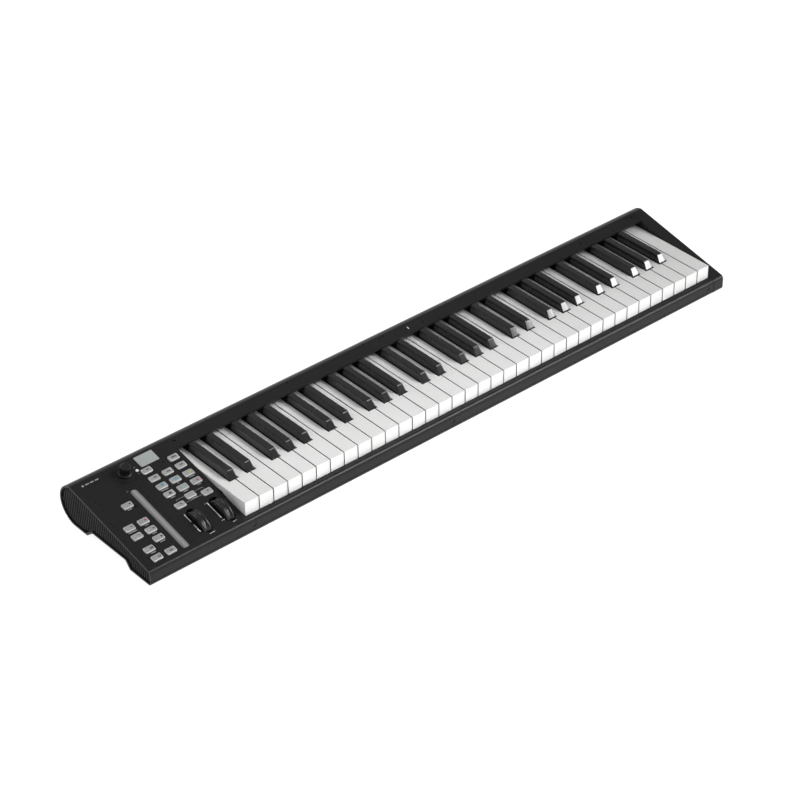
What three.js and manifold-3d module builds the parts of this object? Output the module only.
// A 61-key keyboard controller: a long black case with a key bay, a control panel at its left end,
// moulded plastic keys, push buttons, an encoder knob and two performance wheels.
// Millimetres, +Z up, +X along the keys towards the high notes, +Y towards the back of the case.
// The origin is on the standing surface, under the middle of the case.
import * as THREE from 'three';
import { mergeVertices } from 'three/addons/utils/BufferGeometryUtils.js';
import Module from 'manifold-3d';

const wasm = await Module();
wasm.setup();

// ---------------------------------------------------------------- driving dimensions

const CASE_LENGTH = 1025;
const CASE_DEPTH = 195;
const WALL = 2.5;
const FIT_GAP = 0.3; // between pieces that touch
const ARC_STEPS = 11; // straight segments in each curve of an outline

// The whole top of the case lies in one plane that rises towards the back.
const PANEL_SLOPE = THREE.MathUtils.degToRad(12.34);
const PANEL_HEIGHT = 45.56; // of that plane above the middle of the base

const KEY_PITCH = 23.5; // centre to centre of the white keys
const KEY_GAP = 1;
const OCTAVES = 5;
const WHITES_PER_OCTAVE = 7;
const OCTAVE_WIDTH = WHITES_PER_OCTAVE * KEY_PITCH;
const FIRST_KEY_X = -354.5; // left side of the lowest key
const KEY_FRONT_Y = -86.5;
const KEY_TOP_Z = 46;

const BAY_LEFT_X = FIRST_KEY_X - 1.2;
const BAY_FRONT_Y = KEY_FRONT_Y - 1.5;
const BAY_BACK_Y = KEY_FRONT_Y + 140;
const BAY_RIGHT_X = FIRST_KEY_X + (OCTAVES * WHITES_PER_OCTAVE + 1) * KEY_PITCH + 0.2;

const FOOT_PROUD = 2; // how far the feet stand below the case
const FOOT_RADIUS = 8;

const CASE_LEFT_X = -CASE_LENGTH / 2;
const CASE_RIGHT_X = CASE_LENGTH / 2;
const CAP_SEAM_X = BAY_RIGHT_X;

const BUTTON_WIDTH = 15;
const BUTTON_DEPTH = 9.6;
const BUTTON_PROUD = 1.5;
const BUTTON_GAP = 0.5;

const WHEEL_RADIUS = 24;
const WHEEL_WIDTH = 13;
const WHEEL_SINK = 14; // the axle's depth below the panel
const WHEEL_V = -63.2;
const PITCH_WHEEL_X = -408.8;
const MOD_WHEEL_X = -371.9;
const AXLE_RADIUS = 2;

const KNOB_X = -440.3;
const KNOB_V = 53.8;
const KNOB_HEIGHT = 16;

const DISPLAY = { x: -400.1, v: 62, width: 28.9, depth: 19.4 };
const STRIP = { x: -448.2, v: -32, width: 10.3, depth: 116.2 };

// ---------------------------------------------------------------- solids from geometries

const X = new THREE.Vector3(1, 0, 0);
const Y = new THREE.Vector3(0, 1, 0);
const Z = new THREE.Vector3(0, 0, 1);

function solidOf(geometry) {
  const bare = geometry.index ? geometry.toNonIndexed() : geometry.clone();
  bare.deleteAttribute('normal');
  bare.deleteAttribute('uv');
  const merged = mergeVertices(bare, 1e-4);
  return new wasm.Manifold(new wasm.Mesh({
    numProp: 3,
    vertProperties: merged.attributes.position.array,
    triVerts: new Uint32Array(merged.index.array),
  }));
}

function geometryOf(solid) {
  const mesh = solid.getMesh();
  const geometry = new THREE.BufferGeometry();
  geometry.setAttribute('position', new THREE.BufferAttribute(mesh.vertProperties, 3));
  geometry.setIndex(new THREE.BufferAttribute(mesh.triVerts, 1));
  const flat = geometry.toNonIndexed();
  flat.computeVertexNormals();
  return flat;
}

const join = (first, ...rest) => rest.reduce((whole, piece) => whole.add(piece), first);
const cut = (first, ...rest) => rest.reduce((whole, piece) => whole.subtract(piece), first);

function extruded(shape, length) {
  return new THREE.ExtrudeGeometry(shape, {
    depth: length,
    bevelEnabled: false,
    curveSegments: ARC_STEPS,
  });
}

// An outline in (y, z) swept from x0 to x1.
function alongX(shape, x0, x1) {
  const geometry = extruded(shape, x1 - x0);
  geometry.applyMatrix4(new THREE.Matrix4().makeBasis(Y, Z, X));
  return solidOf(geometry.translate(x0, 0, 0));
}

// An outline in (x, z) swept from y0 to y1.
function alongY(shape, y0, y1) {
  const geometry = extruded(shape, y1 - y0);
  geometry.applyMatrix4(new THREE.Matrix4().makeBasis(X, Z, Y.clone().negate()));
  return solidOf(geometry.translate(0, y1, 0));
}

function block(x0, x1, y0, y1, z0, z1) {
  const geometry = new THREE.BoxGeometry(x1 - x0, y1 - y0, z1 - z0);
  return solidOf(geometry.translate((x0 + x1) / 2, (y0 + y1) / 2, (z0 + z1) / 2));
}

// A round bar along Z, or along X when turned.
function roundBar(radius, z0, z1, sides = 24, topRadius = radius) {
  const geometry = new THREE.CylinderGeometry(topRadius, radius, z1 - z0, sides);
  return geometry.rotateX(Math.PI / 2).translate(0, 0, (z0 + z1) / 2);
}

function roundBarX(radius, x0, x1, sides = 24) {
  const geometry = new THREE.CylinderGeometry(radius, radius, x1 - x0, sides);
  return geometry.rotateZ(-Math.PI / 2).translate((x0 + x1) / 2, 0, 0);
}

function polygon(points) {
  return new THREE.Shape(points.map(([a, b]) => new THREE.Vector2(a, b)));
}

function roundedRectangle(width, depth, radius) {
  const shape = new THREE.Shape();
  const x = width / 2;
  const y = depth / 2;
  shape.moveTo(-x + radius, -y);
  shape.lineTo(x - radius, -y);
  shape.quadraticCurveTo(x, -y, x, -y + radius);
  shape.lineTo(x, y - radius);
  shape.quadraticCurveTo(x, y, x - radius, y);
  shape.lineTo(-x + radius, y);
  shape.quadraticCurveTo(-x, y, -x, y - radius);
  shape.lineTo(-x, -y + radius);
  shape.quadraticCurveTo(-x, -y, -x + radius, -y);
  return shape;
}

// A flat piece drawn in the panel's own plane: u along X, v up the slope, w out of the panel.
function plate(shape, u, v, w0, w1, curveSegments = 1) {
  const geometry = new THREE.ExtrudeGeometry(shape, {
    depth: w1 - w0,
    bevelEnabled: false,
    curveSegments,
  });
  return geometry.translate(u, v, w0);
}

// The place of the panel's plane in the case.
const panelPlace = new THREE.Matrix4()
  .makeTranslation(0, 0, PANEL_HEIGHT)
  .multiply(new THREE.Matrix4().makeRotationX(PANEL_SLOPE));

const throughPanel = (geometry) => solidOf(geometry.applyMatrix4(panelPlace));

// ---------------------------------------------------------------- materials and nodes

const group = new THREE.Group();
const panelGroup = new THREE.Group();
panelGroup.position.z = PANEL_HEIGHT;
panelGroup.rotation.x = PANEL_SLOPE;
group.add(panelGroup);

const finish = (color, roughness, metalness = 0) => ({ color, roughness, metalness });
const CASE_BLACK = finish(0x2c2c2d, 0.6);
const END_GREY = finish(0x6a6a6a, 0.6);
const KEY_WHITE = finish(0xe9e9e7, 0.25);
const KEY_BLACK = finish(0x17171a, 0.35);
const BUTTON_GREY = finish(0xa8a8a8, 0.5);
const GLOSS_BLACK = finish(0x101012, 0.15);
const KNOB_BLACK = finish(0x1a1a1c, 0.5);
const STRIP_GREY = finish(0x8c8c8c, 0.4);
const DISPLAY_GREY = finish(0xa0a6a5, 0.2);
const RUBBER_DARK = finish(0x1b1b1b, 0.9);
const RUBBER_GREY = finish(0x7d7f80, 0.85);
const FELT_RED = finish(0x7a2a2a, 0.95);
const SHEET_STEEL = finish(0xa9abad, 0.35, 0.9);
const BRIGHT_STEEL = finish(0xc4c6c8, 0.2, 1);
const BOARD_GREEN = finish(0x1d4a2c, 0.5);
const SOCKET_BLACK = finish(0x202022, 0.5);

function node(name, solid, look, parent = group) {
  const mesh = new THREE.Mesh(geometryOf(solid), new THREE.MeshStandardMaterial(look));
  mesh.name = name;
  parent.add(mesh);
  return mesh;
}

// ---------------------------------------------------------------- the case

const FRONT_Y = -CASE_DEPTH / 2;
const BACK_BULGE = { y: 67, z: 32, radius: 30.5 };
const BULGE_END = THREE.MathUtils.degToRad(75);
const RAIL_BACK_Y = 72.5; // where the flat top ends and the rounded back begins
const ARCH = { frontLow: -52, frontHigh: -43, backHigh: 28, backLow: 41, height: 12 };

// The cross-section of the case, drawn as much inside the outer surface as inset says.
function caseSection(inset) {
  const shape = new THREE.Shape();
  const front = FRONT_Y + inset;
  const floor = FOOT_PROUD + inset;
  const arch = ARCH.height + inset;
  const topAt = (y) => PANEL_HEIGHT + Math.tan(PANEL_SLOPE) * y - inset / Math.cos(PANEL_SLOPE);
  const bottomRound = Math.max(6 - inset, 1);
  const topRound = Math.max(3 - inset, 1);
  const railBack = RAIL_BACK_Y - 0.8 * inset;
  shape.moveTo(front + bottomRound, floor);
  shape.lineTo(ARCH.frontLow - inset, floor);
  shape.lineTo(ARCH.frontHigh - inset, arch);
  shape.lineTo(ARCH.backHigh + inset, arch);
  shape.lineTo(ARCH.backLow + inset, floor);
  shape.lineTo(BACK_BULGE.y, floor);
  shape.absarc(BACK_BULGE.y, BACK_BULGE.z, BACK_BULGE.radius - inset, -Math.PI / 2, BULGE_END);
  shape.lineTo(railBack, topAt(railBack));
  shape.lineTo(front + topRound, topAt(front + topRound));
  shape.quadraticCurveTo(front, topAt(front), front, topAt(front) - topRound);
  shape.lineTo(front, floor + bottomRound);
  shape.quadraticCurveTo(front, floor, front + bottomRound, floor);
  return shape;
}

const caseShell = cut(
  alongX(caseSection(0), CASE_LEFT_X, CAP_SEAM_X),
  alongX(caseSection(WALL), CASE_LEFT_X - 1, CAP_SEAM_X + 1),
);

// The lower half of the shell: a low wall all round and the raised floor between its two ridges.
const SPLIT_Z = 8;
function lowerHalf(gap) {
  const wall = SPLIT_Z + gap;
  return alongX(polygon([
    [-110, -5], [110, -5], [110, wall], [80, wall], [80, 18], [-90, 18], [-90, wall], [-110, wall],
  ]), CASE_LEFT_X - 2, CAP_SEAM_X + 2);
}

const FOOT_SPOTS = [
  ['front_left_foot', -440, -75],
  ['front_right_foot', 440, -75],
  ['rear_left_foot', -440, 56],
  ['rear_right_foot', 440, 56],
];
const FOOT_RECESS = 0.8;

function footCylinder(x, y, radius, z0, z1) {
  return solidOf(roundBar(radius, z0, z1, 20).translate(x, y, 0));
}

const footRecesses = FOOT_SPOTS.map(([, x, y]) => (
  footCylinder(x, y, FOOT_RADIUS + FIT_GAP, 0, FOOT_PROUD + FOOT_RECESS)
));
node('bottom_case', cut(caseShell.intersect(lowerHalf(0)), ...footRecesses), CASE_BLACK);

for (const [name, x, y] of FOOT_SPOTS) {
  node(name, footCylinder(x, y, FOOT_RADIUS, 0, FOOT_PROUD + FOOT_RECESS - FIT_GAP), RUBBER_DARK);
}

// The socket window in the rounded back, near the low end of the case.
const SOCKETS = { left: -470, right: -390, low: 18, high: 44, plateFront: 84, plateBack: 88 };

// Screw wells: along the rail behind the keys and along the front face.
const SCREW_WELL_RADIUS = 3;
const SCREW_WELL_DEPTH = 1.4;
const RAIL_SCREW_XS = [-352, 483.5];
const RAIL_SCREW_V = 66.2;
const FRONT_SCREW_XS = [-348.5, -10, 480.5];
const FRONT_SCREW_Z = 15.5;

function frontWell(x) {
  const well = roundBar(SCREW_WELL_RADIUS, -SCREW_WELL_DEPTH, 2, 16).rotateX(Math.PI / 2);
  return solidOf(well.translate(x, FRONT_Y, FRONT_SCREW_Z));
}

function railWell(x) {
  const well = roundBar(SCREW_WELL_RADIUS, -SCREW_WELL_DEPTH, 2, 16);
  return throughPanel(well.translate(x, RAIL_SCREW_V, 0));
}

// ---------------------------------------------------------------- the control layout

const ROW_STEP = 16.3;
const gridRow = (row) => 43.4 - ROW_STEP * row;
const GRID_COLUMNS = [-413, -391.7, -370.4];
const TRANSPORT_COLUMNS = [-490.5, -469.2];

// Each entry is one moulding: its name and the centres of its caps.
const BUTTON_SETS = [
  ['select_buttons', [0, 1, 2, 3].map((row) => [GRID_COLUMNS[0], gridRow(row)])],
  ['edit_buttons', [1, 2, 3, 4].map((row) => [GRID_COLUMNS[1], gridRow(row)])],
  ['assign_buttons', [0, 1, 2, 3].map((row) => [GRID_COLUMNS[2], gridRow(row)])],
  ['octave_down_button', [[GRID_COLUMNS[0], -28.7]]],
  ['octave_up_button', [[GRID_COLUMNS[2], -28.7]]],
  ['shift_button', [[TRANSPORT_COLUMNS[1] - 0.6, 7.4]]],
  ['loop_button', [[TRANSPORT_COLUMNS[0], -25.7]]],
  ['record_button', [[TRANSPORT_COLUMNS[1], -25.7]]],
  ['rewind_button', [[TRANSPORT_COLUMNS[0], -42.1]]],
  ['forward_button', [[TRANSPORT_COLUMNS[1], -42.1]]],
  ['click_button', [[TRANSPORT_COLUMNS[1], -58.5]]],
  ['stop_button', [[TRANSPORT_COLUMNS[0], -67.6]]],
  ['return_button', [[TRANSPORT_COLUMNS[0], -84.1]]],
  ['play_button', [[TRANSPORT_COLUMNS[1], -84.1]]],
];

const buttonHoles = BUTTON_SETS.flatMap(([, caps]) => caps.map(([u, v]) => (
  throughPanel(plate(
    roundedRectangle(BUTTON_WIDTH + 2 * BUTTON_GAP, BUTTON_DEPTH + 2 * BUTTON_GAP, 1.5), u, v, -6, 4,
  ))
)));

const WHEEL_SLOT_LENGTH = 46.5;
const WHEEL_SLOT_WIDTH = WHEEL_WIDTH + 2.8;
const WHEEL_SLOT_CORNER = 4;
const wheelSlots = [PITCH_WHEEL_X, MOD_WHEEL_X].map((x) => throughPanel(plate(
  roundedRectangle(WHEEL_SLOT_WIDTH, WHEEL_SLOT_LENGTH, WHEEL_SLOT_CORNER), x, WHEEL_V, -8, 4, 4,
)));

const encoderHole = throughPanel(roundBar(4, -6, 4, 20).translate(KNOB_X, KNOB_V, 0));
const displayHole = throughPanel(plate(
  roundedRectangle(DISPLAY.width + 2 * FIT_GAP, DISPLAY.depth + 2 * FIT_GAP, 0.8),
  DISPLAY.x, DISPLAY.v, -6, 4,
));
const STRIP_RECESS = 1.2;
const stripRecess = throughPanel(plate(
  roundedRectangle(STRIP.width + 2 * FIT_GAP, STRIP.depth + 2 * FIT_GAP, 1.2),
  STRIP.x, STRIP.v, -STRIP_RECESS, 4,
));

// The key bay: its left side and its front edge are turned down as stiff flanges.
const BAY_FLANGE = 1.6;
const BAY_FLANGE_LOW_Z = 24;
const bayFlange = join(
  block(BAY_LEFT_X - BAY_FLANGE, BAY_LEFT_X, BAY_FRONT_Y, 70, BAY_FLANGE_LOW_Z, 70),
  block(BAY_LEFT_X - BAY_FLANGE, CAP_SEAM_X, BAY_FRONT_Y - BAY_FLANGE, BAY_FRONT_Y, 16, 70),
).intersect(alongX(caseSection(1), CASE_LEFT_X, CAP_SEAM_X));

const bayOpening = block(BAY_LEFT_X, CAP_SEAM_X + 2, BAY_FRONT_Y, BAY_BACK_Y, 15, 80);
const socketWindow = block(
  SOCKETS.left - FIT_GAP, SOCKETS.right + FIT_GAP, 80, 110,
  SOCKETS.low - FIT_GAP, SOCKETS.high + FIT_GAP,
);

node('top_cover', cut(
  join(cut(caseShell, lowerHalf(FIT_GAP)), bayFlange),
  bayOpening,
  socketWindow,
  ...buttonHoles,
  ...wheelSlots,
  encoderHole,
  displayHole,
  stripRecess,
  ...RAIL_SCREW_XS.map(railWell),
  ...FRONT_SCREW_XS.map(frontWell),
), CASE_BLACK);

// The left end is closed by a plate set into the rim of the case.
const LEFT_CAP_SETBACK = 1.2;
const LEFT_CAP_THICKNESS = 3;
node('left_end_cap', alongX(
  caseSection(WALL + FIT_GAP),
  CASE_LEFT_X + LEFT_CAP_SETBACK,
  CASE_LEFT_X + LEFT_CAP_SETBACK + LEFT_CAP_THICKNESS,
), END_GREY);

// The right end is a box of the full section. Its inner wall is the right side of the key bay, and
// two windows in that wall keep the hollow end open to the rest of the case.
const RIGHT_CAP_X = CAP_SEAM_X + FIT_GAP;
const RIGHT_CAP_WALL = 2;
const CAP_WINDOWS = [
  { front: -80, back: -55, low: 6, high: 26 },
  { front: 45, back: 85, low: 10, high: 34 },
];
node('right_end_cap', cut(
  alongX(caseSection(0), RIGHT_CAP_X, CASE_RIGHT_X),
  alongX(caseSection(WALL), RIGHT_CAP_X + RIGHT_CAP_WALL, CASE_RIGHT_X - WALL),
  ...CAP_WINDOWS.map(({ front, back, low, high }) => (
    block(RIGHT_CAP_X - 1, RIGHT_CAP_X + RIGHT_CAP_WALL + 1, front, back, low, high)
  )),
), CASE_BLACK);

// ---------------------------------------------------------------- sockets at the back

const USB = { x: -455, z: 31, width: 8.6, height: 8 };
const MIDI = { x: -432, z: 31, radius: 7.6 };
const PEDAL = { x: -408, z: 31, radius: 3.6 };

function socketHole(radius, x, z) {
  const bar = roundBar(radius, -20, 20, 16).rotateX(Math.PI / 2);
  return solidOf(bar.translate(x, SOCKETS.plateFront, z));
}

node('socket_block', cut(
  block(SOCKETS.left, SOCKETS.right, SOCKETS.plateFront, 100, SOCKETS.low, SOCKETS.high)
    .intersect(alongX(caseSection(0.2), SOCKETS.left - 1, SOCKETS.right + 1)),
  block(SOCKETS.left + 2, SOCKETS.right - 2, SOCKETS.plateBack, 110, SOCKETS.low + 2, SOCKETS.high - 2),
  block(
    USB.x - USB.width / 2, USB.x + USB.width / 2, 70, 110, USB.z - USB.height / 2, USB.z + USB.height / 2,
  ),
  socketHole(MIDI.radius, MIDI.x, MIDI.z),
  socketHole(PEDAL.radius, PEDAL.x, PEDAL.z),
), SOCKET_BLACK);

// ---------------------------------------------------------------- panel fittings

const BOARD_TOP_W = -8;
const BOARD_THICKNESS = 1.6;

// The circuit board under the panel: wide at the back, and a leg beside the wheels.
node('main_board', solidOf(plate(polygon([
  [-500, -91], [-459, -91], [-459, -36], [-362, -36], [-362, 70], [-500, 70],
]), 0, 0, BOARD_TOP_W - BOARD_THICKNESS, BOARD_TOP_W)), BOARD_GREEN, panelGroup);

node('display', solidOf(plate(
  roundedRectangle(DISPLAY.width, DISPLAY.depth, 0.6),
  DISPLAY.x, DISPLAY.v, BOARD_TOP_W + FIT_GAP, -0.3,
)), DISPLAY_GREY, panelGroup);

node('touch_strip', solidOf(plate(
  roundedRectangle(STRIP.width, STRIP.depth, 1), STRIP.x, STRIP.v, -STRIP_RECESS + FIT_GAP, -0.1,
)), STRIP_GREY, panelGroup);

// Caps stand through the panel. A flange or runner below it holds them in, and a stem works each switch.
const FLANGE_TOP_W = -WALL - 0.45;
const FLANGE_LOW_W = FLANGE_TOP_W - 1.5;
const STEM_LOW_W = BOARD_TOP_W + 1.5;
const FLANGE_RIM = 1.6;

function buttonSet(caps) {
  const pieces = caps.flatMap(([u, v]) => [
    plate(roundedRectangle(BUTTON_WIDTH, BUTTON_DEPTH, 1.2), u, v, FLANGE_TOP_W - 0.5, BUTTON_PROUD),
    new THREE.BoxGeometry(
      BUTTON_WIDTH + 2 * FLANGE_RIM, BUTTON_DEPTH + 2 * FLANGE_RIM, FLANGE_TOP_W - FLANGE_LOW_W,
    ).translate(u, v, (FLANGE_TOP_W + FLANGE_LOW_W) / 2),
    new THREE.BoxGeometry(3, 3, 3).translate(u, v, STEM_LOW_W + 1.5),
  ]);
  const vs = caps.map(([, v]) => v);
  if (vs.length > 1) {
    const low = Math.min(...vs);
    const high = Math.max(...vs);
    pieces.push(new THREE.BoxGeometry(5, high - low, FLANGE_TOP_W - FLANGE_LOW_W)
      .translate(caps[0][0], (low + high) / 2, (FLANGE_TOP_W + FLANGE_LOW_W) / 2));
  }
  return join(...pieces.map(solidOf));
}

for (const [name, caps] of BUTTON_SETS) node(name, buttonSet(caps), BUTTON_GREY, panelGroup);

// The encoder stands on the board, and its shaft carries the knob above the panel.
const SHAFT_RADIUS = 3;
const SHAFT_TOP_W = KNOB_HEIGHT - 3;
node('encoder', join(
  solidOf(new THREE.BoxGeometry(12, 12, 4.5).translate(KNOB_X, KNOB_V, BOARD_TOP_W + FIT_GAP + 2.25)),
  solidOf(roundBar(SHAFT_RADIUS, -5, SHAFT_TOP_W, 16).translate(KNOB_X, KNOB_V, 0)),
), SHEET_STEEL, panelGroup);

const KNOB_LOW_W = 0.6;
const KNOB_BASE_RADIUS = 8.8;
const KNOB_TOP_RADIUS = 7.3;
node('encoder_knob', cut(
  solidOf(roundBar(KNOB_BASE_RADIUS, KNOB_LOW_W, KNOB_HEIGHT, 28, KNOB_TOP_RADIUS)
    .translate(KNOB_X, KNOB_V, 0)),
  solidOf(roundBar(SHAFT_RADIUS + FIT_GAP, 0, SHAFT_TOP_W + FIT_GAP, 16).translate(KNOB_X, KNOB_V, 0)),
), KNOB_BLACK, panelGroup);

// ---------------------------------------------------------------- the two wheels

// A wheel is a sector of a disc on a hub. The angles are from the panel's outward direction,
// positive towards the back, and the rim between them is as long as the slot and the travel need.
function wheelSector(backDegrees, frontDegrees) {
  const back = THREE.MathUtils.degToRad(90 - backDegrees);
  const front = THREE.MathUtils.degToRad(90 + frontDegrees);
  const shape = new THREE.Shape();
  const steps = 22;
  shape.moveTo(0, -5);
  for (let step = 0; step <= steps; step += 1) {
    const angle = back + ((front - back) * step) / steps;
    shape.lineTo(WHEEL_RADIUS * Math.cos(angle), WHEEL_RADIUS * Math.sin(angle));
  }
  shape.closePath();
  return shape;
}

function wheel(x, backDegrees, frontDegrees) {
  const half = WHEEL_WIDTH / 2;
  const body = alongX(wheelSector(backDegrees, frontDegrees), -half, half);
  const bore = solidOf(roundBarX(AXLE_RADIUS + FIT_GAP, -half - 1, half + 1, 20));
  const hub = solidOf(roundBarX(5, -half, half, 20));
  const geometry = geometryOf(cut(join(body, hub), bore));
  return solidOf(geometry.translate(x, WHEEL_V, -WHEEL_SINK));
}

node('pitch_wheel', wheel(PITCH_WHEEL_X, 82, 82), GLOSS_BLACK, panelGroup);
node('mod_wheel', wheel(MOD_WHEEL_X, 55, 109), GLOSS_BLACK, panelGroup);

const AXLE_ENDS = [PITCH_WHEEL_X - 13, MOD_WHEEL_X + 13];
node('wheel_axle', solidOf(
  roundBarX(AXLE_RADIUS, AXLE_ENDS[0], AXLE_ENDS[1], 20).translate(0, WHEEL_V, -WHEEL_SINK),
), BRIGHT_STEEL, panelGroup);

// The cradle stands on the floor of the case and carries the axle in four uprights.
const axlePoint = new THREE.Vector3(0, WHEEL_V, -WHEEL_SINK).applyMatrix4(panelPlace);
const CRADLE_FLOOR = FOOT_PROUD + WALL + FIT_GAP;
const UPRIGHT_OFFSET = 8.6;
const CRADLE_BACK_Y = ARCH.frontLow - WALL - 1; // clear of the rising floor
const uprightOutline = polygon([
  [axlePoint.y - 6, CRADLE_FLOOR], [CRADLE_BACK_Y, CRADLE_FLOOR], [axlePoint.y + 4, CRADLE_FLOOR + 5],
  [axlePoint.y + 4, axlePoint.z + 4.5], [axlePoint.y - 6, axlePoint.z + 4.5],
]);
const uprights = [PITCH_WHEEL_X, MOD_WHEEL_X].flatMap((x) => [-1, 1].map((side) => {
  const middle = x + side * UPRIGHT_OFFSET;
  return alongX(uprightOutline, middle - 1, middle + 1);
}));
node('wheel_cradle', cut(
  join(
    block(
      AXLE_ENDS[0] - 3, AXLE_ENDS[1] + 3, axlePoint.y - 6, CRADLE_BACK_Y,
      CRADLE_FLOOR, CRADLE_FLOOR + 2,
    ),
    ...uprights,
  ),
  solidOf(roundBarX(AXLE_RADIUS + FIT_GAP, AXLE_ENDS[0] - 4, AXLE_ENDS[1] + 4, 16)
    .translate(0, axlePoint.y, axlePoint.z)),
), SHEET_STEEL);

// ---------------------------------------------------------------- the key bed

const KEYBED_LEFT_X = FIRST_KEY_X + 1;
const KEYBED_RIGHT_X = BAY_RIGHT_X - 1.5;

// A folded sheet under all the keys: a low front shelf, a raised deck and a rear upstand.
const CHASSIS_FLOOR = FOOT_PROUD + WALL + FIT_GAP;
node('keybed_chassis', alongX(polygon([
  [-84, CHASSIS_FLOOR], [-82.4, CHASSIS_FLOOR], [-82.4, 8.4], [-59, 8.4], [-59, 14.8],
  [69.4, 14.8], [69.4, 33], [71, 33], [71, 35.2], [67.8, 35.2], [67.8, 16.4],
  [-60.6, 16.4], [-60.6, 10], [-84, 10],
]), KEYBED_LEFT_X, KEYBED_RIGHT_X), SHEET_STEEL);

node('key_stop_felt', block(KEYBED_LEFT_X, KEYBED_RIGHT_X, -83, -64, 10.3, 14.6), FELT_RED);
node('contact_board', block(KEYBED_LEFT_X, KEYBED_RIGHT_X, -20, 30, 16.7, 18.3), BOARD_GREEN);
node('contact_strip', alongX(polygon([
  [-12, 18.6], [22, 18.6], [22, 20.2], [13, 20.2], [9, 27.5], [1, 27.5], [-3, 20.2], [-12, 20.2],
]), KEYBED_LEFT_X, KEYBED_RIGHT_X), RUBBER_GREY);

// ---------------------------------------------------------------- the keys

const WHITE_HEAD_LENGTH = 49;
const LIP_HEIGHT = 21;
const TAIL_HEIGHT = 9;
const TAIL_END = 150; // from the key's front, where the full tail ends and the hinge tongue begins
const HINGE_Y = 160;
const BAR_START = 154;
const SHARP_FRONT = 50;
const SHARP_SLANT = 7.5;
const SHARP_HEIGHT = 11;
const SHARP_END = 138.5;
const SHARP_BASE_WIDTH = 13;
const SHARP_TOP_WIDTH = 10;
const SLOT_HALF = SHARP_BASE_WIDTH / 2 + 0.9;

// Where each black key stands: the gap between white keys that it covers, and its shift from there.
const SHARPS = [
  { name: 'c_sharp', gap: 1, shift: -2.35 },
  { name: 'd_sharp', gap: 2, shift: 2.35 },
  { name: 'f_sharp', gap: 4, shift: -3.36 },
  { name: 'g_sharp', gap: 5, shift: 0 },
  { name: 'a_sharp', gap: 6, shift: 3.36 },
];
const WHITES = ['c', 'd', 'e', 'f', 'g', 'a', 'b'];

// Heights of the hinge tongues below the white tops: one for each moulding, so that they pass
// over each other, and one for a key moulded by itself.
const TONGUES = {
  ceg: [-10.0, -7.2],
  dfa: [-6.2, -3.4],
  sharps: [-2.4, 0.3],
  single: [-7.5, -3.5],
};

// Outlines and boxes in the key's own frame: from the key front, and from the white tops.
const keyOutline = (points) => polygon(
  points.map(([fromFront, height]) => [KEY_FRONT_Y + fromFront, KEY_TOP_Z + height]),
);
const keyBlock = (x0, x1, f0, f1, h0, h1) => block(
  x0, x1, KEY_FRONT_Y + f0, KEY_FRONT_Y + f1, KEY_TOP_Z + h0, KEY_TOP_Z + h1,
);

const headOutline = keyOutline([
  [0, 0], [0, -LIP_HEIGHT], [20, -LIP_HEIGHT], [WHITE_HEAD_LENGTH, -TAIL_HEIGHT], [WHITE_HEAD_LENGTH, 0],
]);
const tailOutline = keyOutline([
  [WHITE_HEAD_LENGTH - 0.5, 0], [WHITE_HEAD_LENGTH - 0.5, -TAIL_HEIGHT], [TAIL_END, -TAIL_HEIGHT],
  [TAIL_END, 0],
]);
const sharpOutline = keyOutline([
  [SHARP_FRONT, 0], [SHARP_FRONT, -TAIL_HEIGHT], [TAIL_END, -TAIL_HEIGHT], [TAIL_END, 0],
  [SHARP_END, 0], [SHARP_END, SHARP_HEIGHT], [SHARP_FRONT + SHARP_SLANT, SHARP_HEIGHT],
]);

function sharpCentre(octaveX, sharp) {
  return octaveX + sharp.gap * KEY_PITCH + sharp.shift;
}

function tongue(x0, x1, level) {
  return keyBlock(x0, x1, TAIL_END - 2, HINGE_Y, level[0], level[1]);
}

function whiteKey(octaveX, index, level, isLast = false) {
  const left = octaveX + index * KEY_PITCH + KEY_GAP / 2;
  const right = left + KEY_PITCH - KEY_GAP;
  const leftSharp = SHARPS.find((sharp) => sharp.gap === index);
  const rightSharp = isLast ? undefined : SHARPS.find((sharp) => sharp.gap === index + 1);
  const tailLeft = leftSharp ? sharpCentre(octaveX, leftSharp) + SLOT_HALF : left;
  const tailRight = rightSharp ? sharpCentre(octaveX, rightSharp) - SLOT_HALF : right;
  return join(
    alongX(headOutline, left, right),
    alongX(tailOutline, tailLeft, tailRight),
    tongue(tailLeft + 1, tailRight - 1, level),
  );
}

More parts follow.
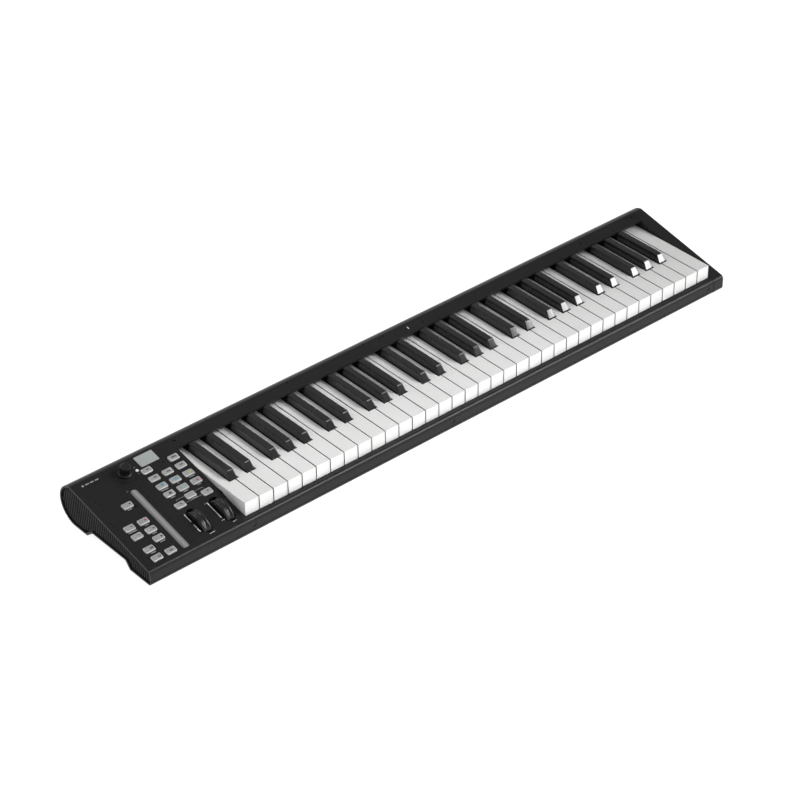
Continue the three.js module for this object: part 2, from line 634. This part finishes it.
function sharpKey(octaveX, sharp, level) {
  const centre = sharpCentre(octaveX, sharp);
  const base = SHARP_BASE_WIDTH / 2;
  const top = SHARP_TOP_WIDTH / 2;
  const crossSection = polygon([
    [centre - base, KEY_TOP_Z - TAIL_HEIGHT - 1], [centre + base, KEY_TOP_Z - TAIL_HEIGHT - 1],
    [centre + base, KEY_TOP_Z], [centre + top, KEY_TOP_Z + SHARP_HEIGHT],
    [centre - top, KEY_TOP_Z + SHARP_HEIGHT], [centre - base, KEY_TOP_Z],
  ]);
  const body = alongX(sharpOutline, centre - base, centre + base)
    .intersect(alongY(crossSection, KEY_FRONT_Y, KEY_FRONT_Y + HINGE_Y));
  return join(body, tongue(centre - base + 1, centre + base - 1, level));
}

// The bar that joins the keys of one moulding at their hinge.
const hingeBar = (x0, x1, level) => keyBlock(x0, x1, BAR_START, HINGE_Y, level[0], level[1]);

const MIDDLE_OCTAVE = 3;
for (let octave = 1; octave <= OCTAVES; octave += 1) {
  const octaveX = FIRST_KEY_X + (octave - 1) * OCTAVE_WIDTH;
  if (octave === MIDDLE_OCTAVE) {
    WHITES.forEach((name, index) => {
      node(`key_${name}${octave}`, whiteKey(octaveX, index, TONGUES.single), KEY_WHITE);
    });
    SHARPS.forEach((sharp) => {
      node(`key_${sharp.name}${octave}`, sharpKey(octaveX, sharp, TONGUES.single), KEY_BLACK);
    });
    continue;
  }
  const lowBarLeft = octaveX + 1;
  const outerKeys = [0, 2, 4, 6].map((index) => whiteKey(octaveX, index, TONGUES.ceg));
  let outerBarRight = octaveX + OCTAVE_WIDTH - 1;
  if (octave === OCTAVES) {
    outerKeys.push(whiteKey(octaveX + OCTAVE_WIDTH, 0, TONGUES.ceg, true));
    outerBarRight += KEY_PITCH;
  }
  node(`keys_ceg_octave${octave}`, join(
    hingeBar(lowBarLeft, outerBarRight, TONGUES.ceg), ...outerKeys,
  ), KEY_WHITE);
  node(`keys_dfa_octave${octave}`, join(
    hingeBar(octaveX + 1.5 * KEY_PITCH - 4, octaveX + 5.5 * KEY_PITCH + 4, TONGUES.dfa),
    ...[1, 3, 5].map((index) => whiteKey(octaveX, index, TONGUES.dfa)),
  ), KEY_WHITE);
  node(`keys_sharps_octave${octave}`, join(
    hingeBar(sharpCentre(octaveX, SHARPS[0]) - 4, sharpCentre(octaveX, SHARPS[4]) + 4, TONGUES.sharps),
    ...SHARPS.map((sharp) => sharpKey(octaveX, sharp, TONGUES.sharps)),
  ), KEY_BLACK);
}

export default group;
